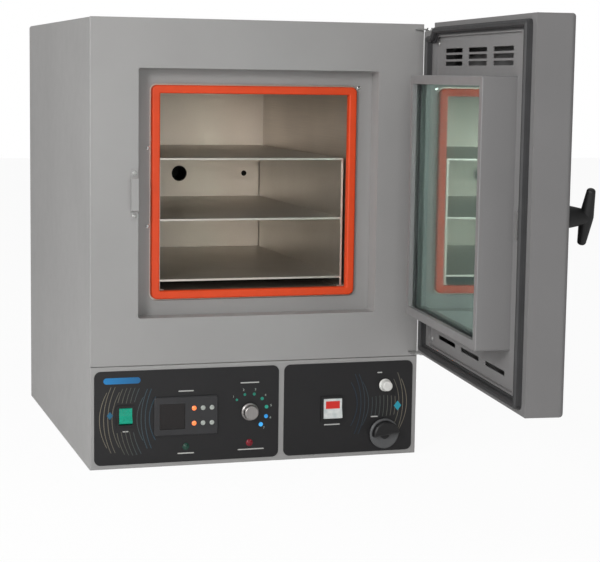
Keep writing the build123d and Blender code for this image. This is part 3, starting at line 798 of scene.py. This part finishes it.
class RepeatTree(NodeWork):
    """Geometry Nodes tree that repeats one shape along a line or an arc."""

    def __init__(self, name: str, sockets: Iterable[tuple[str, str, object]]) -> None:
        """Start a tree with named inputs.

        Args:
            name: Name of the tree.
            sockets: Name, socket type and default of each input.
        """
        super().__init__(bpy.data.node_groups.new(name, "GeometryNodeTree"))
        self.tree.interface.new_socket("Geometry", in_out="OUTPUT", socket_type="NodeSocketGeometry")
        for title, kind, default in sockets:
            socket = self.tree.interface.new_socket(title, in_out="INPUT", socket_type=kind)
            if default is not None:
                socket.default_value = default
        self.source = self.add("NodeGroupInput")
        self.sink = self.add("NodeGroupOutput")

    def finish(self, geometry: bpy.types.NodeSocket) -> None:
        """Realize the instances, set the material and end the tree.

        Args:
            geometry: Socket of the instances.
        """
        real = self.add("GeometryNodeRealizeInstances")
        dress = self.add("GeometryNodeSetMaterial")
        self.link(geometry, real.inputs["Geometry"])
        self.link(real.outputs["Geometry"], dress.inputs["Geometry"])
        self.link(self.source.outputs["Material"], dress.inputs["Material"])
        self.link(dress.outputs["Geometry"], self.sink.inputs["Geometry"])

    def run(self, name: str, **values: object) -> bpy.types.Mesh:
        """Evaluate the tree on a carrier object.

        Args:
            name: Name of the mesh.
            values: Input names, with spaces as underscores, and their values.

        Returns:
            A plain mesh.
        """
        carrier = bpy.data.objects.new(name + "_carrier", bpy.data.meshes.new(name + "_carrier"))
        bpy.context.scene.collection.objects.link(carrier)
        modifier = carrier.modifiers.new("repeat", "NODES")
        modifier.node_group = self.tree
        for item in self.tree.interface.items_tree:
            key = item.name.replace(" ", "_")
            if item.in_out == "INPUT" and key in values:
                modifier[item.identifier] = values[key]
        depsgraph = bpy.context.evaluated_depsgraph_get()
        mesh = bpy.data.meshes.new_from_object(carrier.evaluated_get(depsgraph), depsgraph=depsgraph)
        mesh.name = name
        carrier.modifiers.remove(modifier)
        bpy.data.objects.remove(carrier)
        return mesh


class StripeTree(RepeatTree):
    """Row of bowed pinstripes whose heights swell and fall along the row."""

    def __init__(self) -> None:
        """Build the tree."""
        super().__init__("pinstripes", [
            ("Count", "NodeSocketInt", 8), ("Start", "NodeSocketVector", (0.0, 0.0, 0.0)),
            ("Pitch", "NodeSocketFloat", 0.006), ("Width", "NodeSocketFloat", 0.001),
            ("Height", "NodeSocketFloat", 0.1), ("Swell", "NodeSocketFloat", 0.2),
            ("Thickness", "NodeSocketFloat", 0.0002), ("Bow", "NodeSocketFloat", 4.0),
            ("Rise", "NodeSocketFloat", 0.0), ("Material", "NodeSocketMaterial", None),
        ])
        source = self.source.outputs
        line = self.add("GeometryNodeMeshLine")
        step = self.add("ShaderNodeCombineXYZ")
        self.link(source["Pitch"], step.inputs["X"])
        self.link(source["Count"], line.inputs["Count"])
        self.link(source["Start"], line.inputs["Start Location"])
        self.link(step.outputs[0], line.inputs["Offset"])
        bar = self.add("GeometryNodeMeshCube")
        size = self.add("ShaderNodeCombineXYZ")
        self.link(source["Width"], size.inputs["X"])
        self.link(source["Thickness"], size.inputs["Y"])
        self.link(source["Height"], size.inputs["Z"])
        self.link(size.outputs[0], bar.inputs["Size"])
        bar.inputs["Vertices Z"].default_value = 15
        parted = self.add("ShaderNodeSeparateXYZ")
        self.link(self.add("GeometryNodeInputPosition").outputs[0], parted.inputs[0])
        level = self.math("ADD", parted.outputs["Z"], source["Rise"])
        shift = self.add("ShaderNodeCombineXYZ")
        square = self.math("MULTIPLY", level, level)
        self.link(self.math("MULTIPLY", square, source["Bow"]), shift.inputs["X"])
        bend = self.add("GeometryNodeSetPosition")
        self.link(bar.outputs["Mesh"], bend.inputs["Geometry"])
        self.link(shift.outputs[0], bend.inputs["Offset"])
        place = self.add("GeometryNodeInstanceOnPoints")
        self.link(line.outputs["Mesh"], place.inputs["Points"])
        self.link(bend.outputs["Geometry"], place.inputs["Instance"])
        index = self.add("GeometryNodeInputIndex").outputs[0]
        last = self.math("SUBTRACT", source["Count"], 1.0)
        turn = self.math("DIVIDE", self.math("MULTIPLY", index, math.pi), last)
        wave = self.math("MULTIPLY", self.math("SINE", turn), source["Swell"])
        tall = self.math("ADD", self.math("SUBTRACT", 1.0, source["Swell"]), wave)
        scale = self.add("ShaderNodeCombineXYZ")
        scale.inputs["X"].default_value = 1.0
        scale.inputs["Y"].default_value = 1.0
        self.link(tall, scale.inputs["Z"])
        self.link(scale.outputs[0], place.inputs["Scale"])
        self.finish(place.outputs["Instances"])


class DotTree(RepeatTree):
    """Round dots on an arc in front view, growing from first to last."""

    def __init__(self) -> None:
        """Build the tree."""
        super().__init__("dial_dots", [
            ("Count", "NodeSocketInt", 7), ("Centre", "NodeSocketVector", (0.0, 0.0, 0.0)),
            ("Radius", "NodeSocketFloat", 0.028), ("First", "NodeSocketFloat", -0.8),
            ("Step", "NodeSocketFloat", 0.53), ("Small", "NodeSocketFloat", 0.0015),
            ("Growth", "NodeSocketFloat", 0.0002), ("Thickness", "NodeSocketFloat", 0.0004),
            ("Material", "NodeSocketMaterial", None),
        ])
        source = self.source.outputs
        points = self.add("GeometryNodePoints")
        self.link(source["Count"], points.inputs["Count"])
        index = self.add("GeometryNodeInputIndex").outputs[0]
        angle = self.math("ADD", source["First"], self.math("MULTIPLY", index, source["Step"]))
        spot = self.add("ShaderNodeCombineXYZ")
        self.link(self.math("MULTIPLY", self.math("SINE", angle), source["Radius"]), spot.inputs["X"])
        self.link(self.math("MULTIPLY", self.math("COSINE", angle), source["Radius"]), spot.inputs["Z"])
        move = self.add("GeometryNodeSetPosition")
        total = self.add("ShaderNodeVectorMath", operation="ADD")
        self.link(spot.outputs[0], total.inputs[0])
        self.link(source["Centre"], total.inputs[1])
        self.link(points.outputs[0], move.inputs["Geometry"])
        self.link(total.outputs[0], move.inputs["Position"])
        disc = self.add("GeometryNodeMeshCylinder")
        disc.inputs["Vertices"].default_value = 24
        self.link(source["Small"], disc.inputs["Radius"])
        self.link(source["Thickness"], disc.inputs["Depth"])
        place = self.add("GeometryNodeInstanceOnPoints")
        place.inputs["Rotation"].default_value = (math.pi / 2, 0.0, 0.0)
        self.link(move.outputs["Geometry"], place.inputs["Points"])
        self.link(disc.outputs["Mesh"], place.inputs["Instance"])
        growth = self.math("ADD", 1.0, self.math("MULTIPLY", index, source["Growth"]))
        scale = self.add("ShaderNodeCombineXYZ")
        self.link(growth, scale.inputs["X"])
        self.link(growth, scale.inputs["Y"])
        scale.inputs["Z"].default_value = 1.0
        self.link(scale.outputs[0], place.inputs["Scale"])
        self.finish(place.outputs["Instances"])


@dataclass(frozen=True)
class SoftLamp:
    """Square lamp with its place, the point it faces, its edge length and its watts."""

    name: str
    place: Point
    target: Point
    size: float
    power: float

    def build(self) -> None:
        """Hang the lamp."""
        data = bpy.data.lights.new(self.name, "AREA")
        data.shape = "SQUARE"
        data.size = self.size
        data.energy = self.power
        lamp = bpy.data.objects.new(self.name, data)
        lamp.location = self.place
        aim = Vector(self.target) - Vector(self.place)
        lamp.rotation_euler = aim.to_track_quat("-Z", "Y").to_euler()
        bpy.context.scene.collection.objects.link(lamp)


@dataclass
class Studio:
    """Floor, surroundings, lamps and the camera at the photograph's angle."""

    floor_half: float = 9.0
    floor_drop: float = 0.0005
    ambient: float = 0.36
    lamps: tuple[SoftLamp, ...] = (
        SoftLamp("key_softbox", (-1.55, -2.2, 1.2), (-0.05, -0.3, 0.4), 0.5, 28.0),
        SoftLamp("side_softbox", (-3.0, -0.9, 1.5), (-0.25, 0.0, 0.35), 1.8, 33.0),
        SoftLamp("chamber_softbox", (-0.55, -3.0, 0.78), (0.0, 0.1, 0.42), 0.6, 11.0),
        SoftLamp("top_softbox", (0.2, -0.6, 3.2), (0.0, 0.0, 0.0), 2.4, 14.0),
    )
    eye: Point = (-0.7030, -2.7799, 0.5977)
    yaw: float = 17.28
    pitch: float = -6.96
    roll: float = 0.83
    lens: float = 100.9
    sensor: float = 36.0

    def build(self, palette: Palette) -> None:
        """Make the floor, the world, the lamps and the camera.

        Args:
            palette: Finishes of the scene.
        """
        half = self.floor_half

        def sheet(work: bmesh.types.BMesh) -> None:
            """Fill one square face."""
            corners = ((-half, -half), (half, -half), (half, half), (-half, half))
            work.faces.new([work.verts.new((x, y, -self.floor_drop)) for x, y in corners])

        floor = bpy.data.objects.new("studio_floor", mesh_of("studio_floor", sheet))
        floor.data.materials.append(palette["studio_floor"])
        bpy.context.scene.collection.objects.link(floor)
        floor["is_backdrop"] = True
        self.world()
        for lamp in self.lamps:
            lamp.build()
        self.camera()

    def world(self) -> None:
        """White surroundings for the camera over a soft grey ambient light."""
        world = bpy.data.worlds.new("studio_world")
        bpy.context.scene.world = world
        world.use_nodes = True
        work = NodeWork(world.node_tree)
        ambient, white = (work.add("ShaderNodeBackground") for _ in range(2))
        ambient.inputs["Color"].default_value = (1.0, 0.995, 0.99, 1.0)
        ambient.inputs["Strength"].default_value = self.ambient
        white.inputs["Color"].default_value = (1.0, 1.0, 1.0, 1.0)
        white.inputs["Strength"].default_value = 1.0
        end = work.add("ShaderNodeOutputWorld").inputs["Surface"]
        work.mix_shaders(work.seen(), ambient, white, end)

    def camera(self) -> None:
        """Set the camera from its eye point and angles."""
        yaw, pitch, roll = (math.radians(angle) for angle in (self.yaw, self.pitch, self.roll))
        level = math.cos(pitch)
        forward = Vector((math.sin(yaw) * level, math.cos(yaw) * level, math.sin(pitch)))
        flat = Vector((math.cos(yaw), -math.sin(yaw), 0.0))
        upright = flat.cross(forward)
        right = flat * math.cos(roll) + upright * math.sin(roll)
        up = upright * math.cos(roll) - flat * math.sin(roll)
        data = bpy.data.cameras.new("photo_camera")
        data.lens = self.lens
        data.sensor_width = self.sensor
        data.sensor_fit = "HORIZONTAL"
        camera = bpy.data.objects.new("photo_camera", data)
        turn = Matrix((right, up, -forward)).transposed()
        camera.matrix_world = Matrix.Translation(self.eye) @ turn.to_4x4()
        bpy.context.scene.collection.objects.link(camera)
        bpy.context.scene.camera = camera


@dataclass
class CadDressing:
    """Finish of every CAD node."""

    finishes: dict[str, tuple[str, ...]] = field(default_factory=lambda: {
        "case_paint": ("outer_case", "front_fascia", "control_housing", "back_panel", "latch_strike"),
        "door_paint": ("door_shell",),
        "liner_paint": ("door_liner", "window_box"),
        "overlay_film": ("temperature_overlay", "vacuum_overlay"),
        "chamber_steel": ("chamber_body",),
        "dark_steel": ("rear_manifold", "temperature_probe"),
        "shelf_steel": ("shelf_lower", "shelf_middle", "shelf_upper"),
        "zinc_steel": ("base_pan", "inner_deck", "case_screws", "chamber_supports", "limit_thermostat",
                       "hinge_brackets", "fascia_screws", "liner_screws", "hinge_straps", "latch_shaft"),
        "bright_steel": ("gasket_clips", "rear_ports"),
        "dial_metal": ("limit_dial",),
        "copper": ("vacuum_tubes", "vent_tubes"),
        "brass": ("needle_valves",),
        "aluminium": ("relay_module",),
        "orange_silicone": ("chamber_gasket",),
        "dark_rubber": ("door_gasket", "window_trim"),
        "black_plastic": ("mains_sockets", "power_switch_body", "pump_switch_body", "t_handle",
                          "latch_sleeve"),
        "vacuum_knob_plastic": ("vacuum_knob",),
        "bezel_plastic": ("controller_body",),
        "grey_plastic": ("window_shroud",),
        "white_plastic": ("vent_knob",),
        "heater_mat": ("heater_pads",),
        "wool": ("insulation",),
        "door_wool": ("door_insulation",),
        "tinted_glass": ("inner_glass",),
        "outer_pane": ("outer_window",),
        "display_lens": ("display_window",),
        "orange_lens": ("controller_lamps",),
        "green_lens": ("power_rocker",),
        "dim_green_lens": ("heat_lamp",),
        "red_lens": ("limit_lamp",),
        "key_cap": ("key_lower_left", "key_lower_right", "key_upper_left", "key_upper_right"),
        "pump_rocker_cap": ("pump_rocker",),
    })

    def build(self, palette: Palette) -> None:
        """Assign a finish to every node.

        Args:
            palette: Finishes of the part.
        """
        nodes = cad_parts
        left = set(nodes)
        for finish, names in self.finishes.items():
            for name in names:
                node = nodes[name]
                for slot in node.material_slots:
                    slot.material = palette[finish]
                left.discard(name)
                LOG.info("%s wears %s", name, finish)
        if left:
            raise RuntimeError(f"no finish for {sorted(left)}")


@dataclass(frozen=True)
class StripeRun:
    """Stripes of one length: place of the first in its row, count, middle height, length and swell."""

    name: str
    first: int
    count: int
    height: float
    length: float
    swell: float


@dataclass
class PanelArtwork:
    """Generic printing on the two halves of the control panel."""

    lift: float = 0.0002
    stripe_pitch: float = 0.0064
    stripe_width: float = 0.0011
    bow: float = 4.2
    left_start: float = -0.2485
    left_end: float = -0.165
    left_middle: float = 0.076
    left_runs: tuple[StripeRun, ...] = (
        StripeRun("left_outer_stripes", 0, 4, 0.076, 0.104, 0.18),
        StripeRun("left_upper_stripes", 4, 5, 0.113, 0.024, 0.12),
        StripeRun("left_lower_stripes", 4, 5, 0.039, 0.038, 0.12),
        StripeRun("left_inner_stripes", 9, 4, 0.076, 0.096, 0.3),
    )
    right_start: float = 0.163
    right_end: float = 0.248
    right_middle: float = 0.084
    right_runs: tuple[StripeRun, ...] = (
        StripeRun("right_inner_stripes", 0, 4, 0.084, 0.1, 0.3),
        StripeRun("right_middle_stripes", 4, 7, 0.079, 0.034, 0.12),
        StripeRun("right_outer_stripes", 11, 3, 0.080, 0.104, 0.2),
    )
    dial: Spot = (-0.0135, 0.080)
    dot_size: float = 0.0019
    dot_growth: float = 0.13
    dot_radius: float = 0.028
    first_dot: float = -47.0
    dot_step: float = 31.0
    dot_count: int = 7
    numeral_gap: float = 0.0075
    numeral_size: float = 0.0052
    bar_height: float = 0.0018
    bars: tuple[Point, ...] = (
        (-0.1145, 0.1165, 0.024), (-0.0135, 0.1255, 0.03), (-0.1145, 0.0195, 0.026),
        (-0.011, 0.0205, 0.042), (0.1215, 0.053, 0.026), (0.2, 0.133, 0.008),
        (-0.2085, 0.0575, 0.009), (0.192, 0.0625, 0.012),
    )
    block: tuple[float, float, float, float] = (-0.2140, 0.1360, 0.057, 0.0095)
    marks: tuple[Point, ...] = ((-0.2325, 0.083, 0.0048), (0.231, 0.0785, 0.0062))
    mark_stretch: float = 1.25

    def surface(self) -> float:
        """Y of the film's printed face."""
        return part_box("temperature_overlay")[0][1]

    def build(self, palette: Palette) -> None:
        """Make stripes, dots, numerals and plain label bars.

        Args:
            palette: Finishes of the part.
        """
        self.stripes(palette)
        self.dots(palette)
        self.numerals(palette)
        self.labels(palette)

    def stripes(self, palette: Palette) -> None:
        """Bowed pinstripes at the outer ends of both panels.

        Args:
            palette: Finishes of the part.
        """
        warm, cool, deep = rgb(112, 104, 90), rgb(34, 66, 84), rgb(18, 40, 58)
        left = palette.add(SweepFinish("left_print", self.left_start, self.left_end,
                                       ((0.0, warm), (0.55, rgb(70, 72, 66)), (1.0, cool))))
        right = palette.add(SweepFinish("right_print", self.right_start, self.right_end,
                                        ((0.0, deep), (0.5, rgb(66, 72, 68)), (1.0, warm))))
        tree = StripeTree()
        self.rows(tree, self.left_runs, left, self.left_start, self.left_middle, self.bow)
        self.rows(tree, self.right_runs, right, self.right_start, self.right_middle, -self.bow)

    def rows(self, tree: StripeTree, runs: Sequence[StripeRun], ink: bpy.types.Material, start: float,
             middle: float, bow: float) -> None:
        """Run the stripe tree once for each run of a panel.

        Args:
            tree: Tree that draws a row.
            runs: Runs of the panel.
            ink: Their finish.
            start: X of the row's first stripe.
            middle: Height at which the arcs are upright.
            bow: Sideways shift per height squared.
        """
        face = self.surface() - self.lift / 2
        for run in runs:
            spot = (start + run.first * self.stripe_pitch, face, run.height)
            mesh = tree.run(run.name, Count=run.count, Start=spot, Pitch=self.stripe_pitch,
                            Width=self.stripe_width, Height=run.length, Swell=run.swell,
                            Thickness=self.lift, Bow=bow, Rise=run.height - middle, Material=ink)
            new_piece(run.name, mesh, ink, Body.OVEN)

    def dots(self, palette: Palette) -> None:
        """Scale dots around the limit dial.

        Args:
            palette: Finishes of the part.
        """
        stops = ((0.0, rgb(20, 110, 92)), (0.45, rgb(30, 140, 120)), (0.6, rgb(30, 130, 200)),
                 (1.0, rgb(70, 180, 250)))
        # The printed dots glow faintly though print gives no light: painted light.
        ink = palette.add(SweepFinish("dot_print", 0.108, 0.056, stops, Axis.Z, glow=0.25))
        x, z = self.dial
        mesh = DotTree().run("dial_dots", Count=self.dot_count, Centre=(x, self.surface() - self.lift, z),
                             Radius=self.dot_radius, First=math.radians(self.first_dot),
                             Step=math.radians(self.dot_step), Small=self.dot_size,
                             Growth=self.dot_growth, Thickness=2 * self.lift, Material=ink)
        new_piece("dial_dots", mesh, ink, Body.OVEN)

    def numeral(self, index: int) -> bpy.types.Mesh:
        """Make one numeral outside its dot.

        Args:
            index: Number of the dot, from 0.

        Returns:
            The numeral's mesh, placed in the frame.
        """
        text = bpy.data.curves.new("numeral", "FONT")
        text.body = str(index + 1)
        text.size = self.numeral_size
        text.align_x = "CENTER"
        text.align_y = "CENTER"
        text.extrude = self.lift / 2
        text.resolution_u = 3
        carrier = bpy.data.objects.new("numeral", text)
        bpy.context.scene.collection.objects.link(carrier)
        depsgraph = bpy.context.evaluated_depsgraph_get()
        mesh = bpy.data.meshes.new_from_object(carrier.evaluated_get(depsgraph), depsgraph=depsgraph)
        bpy.data.objects.remove(carrier)
        angle = math.radians(self.first_dot + self.dot_step * index)
        radius = self.dot_radius + self.numeral_gap
        spot = Vector((self.dial[0] + radius * math.sin(angle), self.surface() - self.lift / 2,
                       self.dial[1] + radius * math.cos(angle)))
        mesh.transform(Matrix.Translation(spot) @ Matrix.Rotation(math.pi / 2, 4, "X"))
        return mesh

    def numerals(self, palette: Palette) -> None:
        """Plain numerals outside the dots, as one piece.

        Args:
            palette: Finishes of the part.
        """
        meshes = [self.numeral(index) for index in range(self.dot_count)]

        def gather(work: bmesh.types.BMesh) -> None:
            """Join the numerals."""
            for mesh in meshes:
                work.from_mesh(mesh)

        new_piece("dial_numerals", mesh_of("dial_numerals", gather), palette["key_cap"], Body.OVEN)

    def labels(self, palette: Palette) -> None:
        """Bare bars where words would stand, the bare block in the corner and two marks.

        Args:
            palette: Finishes of the part.
        """
        face = self.surface() - self.lift

        def plain(work: bmesh.types.BMesh) -> None:
            """Lay a thin bar for each line of words."""
            for x, z, width in self.bars:
                add_plate(work, rounded_bar(x, z, width, self.bar_height), face, self.lift)

        def block(work: bmesh.types.BMesh) -> None:
            """Lay the block in the corner."""
            add_plate(work, rounded_bar(*self.block), face, self.lift)

        def diamonds(work: bmesh.types.BMesh) -> None:
            """Lay the diamond marks, twice as thick as the bars."""
            for x, z, size in self.marks:
                tall = size * self.mark_stretch
                corners = [(x + size, z), (x, z + tall), (x - size, z), (x, z - tall)]
                add_plate(work, corners, face - self.lift, 2 * self.lift)

        ink = palette.add(SweepFinish("block_print", -0.242, -0.186,
                                      ((0.0, rgb(20, 120, 180)), (1.0, rgb(16, 92, 142)))))
        pale = palette.add(SweepFinish("label_print", -0.25, 0.25,
                                       ((0.0, rgb(176, 176, 172)), (1.0, rgb(186, 186, 184)))))
        mark = palette.add(SweepFinish("mark_print", -0.25, 0.25,
                                       ((0.0, rgb(22, 88, 120)), (1.0, rgb(30, 150, 170)))))
        for name, build, finish in (("label_bars", plain, pale), ("corner_block", block, ink),
                                    ("panel_marks", diamonds, mark)):
            new_piece(name, mesh_of(name, build), finish, Body.OVEN)


@dataclass
class GlassFilm:
    """Thin reflecting film on the back of the inner pane."""

    thick: float = 0.0002
    gap: float = 0.0001
    side_inset: float = 0.0095
    end_inset: float = 0.011
    door_open: float = 84.0

    def build(self, palette: Palette) -> None:
        """Lay the film behind the pane as on the closed door, then swing it to the open one.

        Args:
            palette: Finishes of the part.
        """
        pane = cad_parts["inner_glass"].data
        turn = Matrix.Rotation(-math.radians(self.door_open), 4, "Z")
        closed = [turn @ vertex.co for vertex in pane.vertices]
        low = [min(point[axis.value] for point in closed) for axis in Axis]
        high = [max(point[axis.value] for point in closed) for axis in Axis]
        near = low[Axis.Y.value] - self.gap - self.thick
        left, right = low[Axis.X.value] + self.side_inset, high[Axis.X.value] - self.side_inset
        bottom, top = low[Axis.Z.value] + self.end_inset, high[Axis.Z.value] - self.end_inset

        def sheet(work: bmesh.types.BMesh) -> None:
            """Lay the film and swing it."""
            add_plate(work, [(left, bottom), (right, bottom), (right, top), (left, top)], near, self.thick)
            bmesh.ops.transform(work, matrix=turn.inverted(), verts=work.verts)

        new_piece("pane_film", mesh_of("pane_film", sheet), palette["mirror_film"], Body.DOOR)


def save_sizes() -> None:
    def plain(box: Sequence[Sequence[float]]) -> list[list[float]]:
        """Turn a box's corners into plain lists."""
        return [[float(value) for value in corner] for corner in box]

    {"cad": plain(CAD_BOX), "visual": plain(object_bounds())}


def main() -> None:
    """Build the scene in order."""
    bpy.context.scene.view_settings.view_transform = "Standard"
    palette = Palette()
    Studio().build(palette)
    CadDressing().build(palette)
    PanelArtwork().build(palette)
    GlassFilm().build(palette)
    save_sizes()


if __name__ == "__main__":
    main()
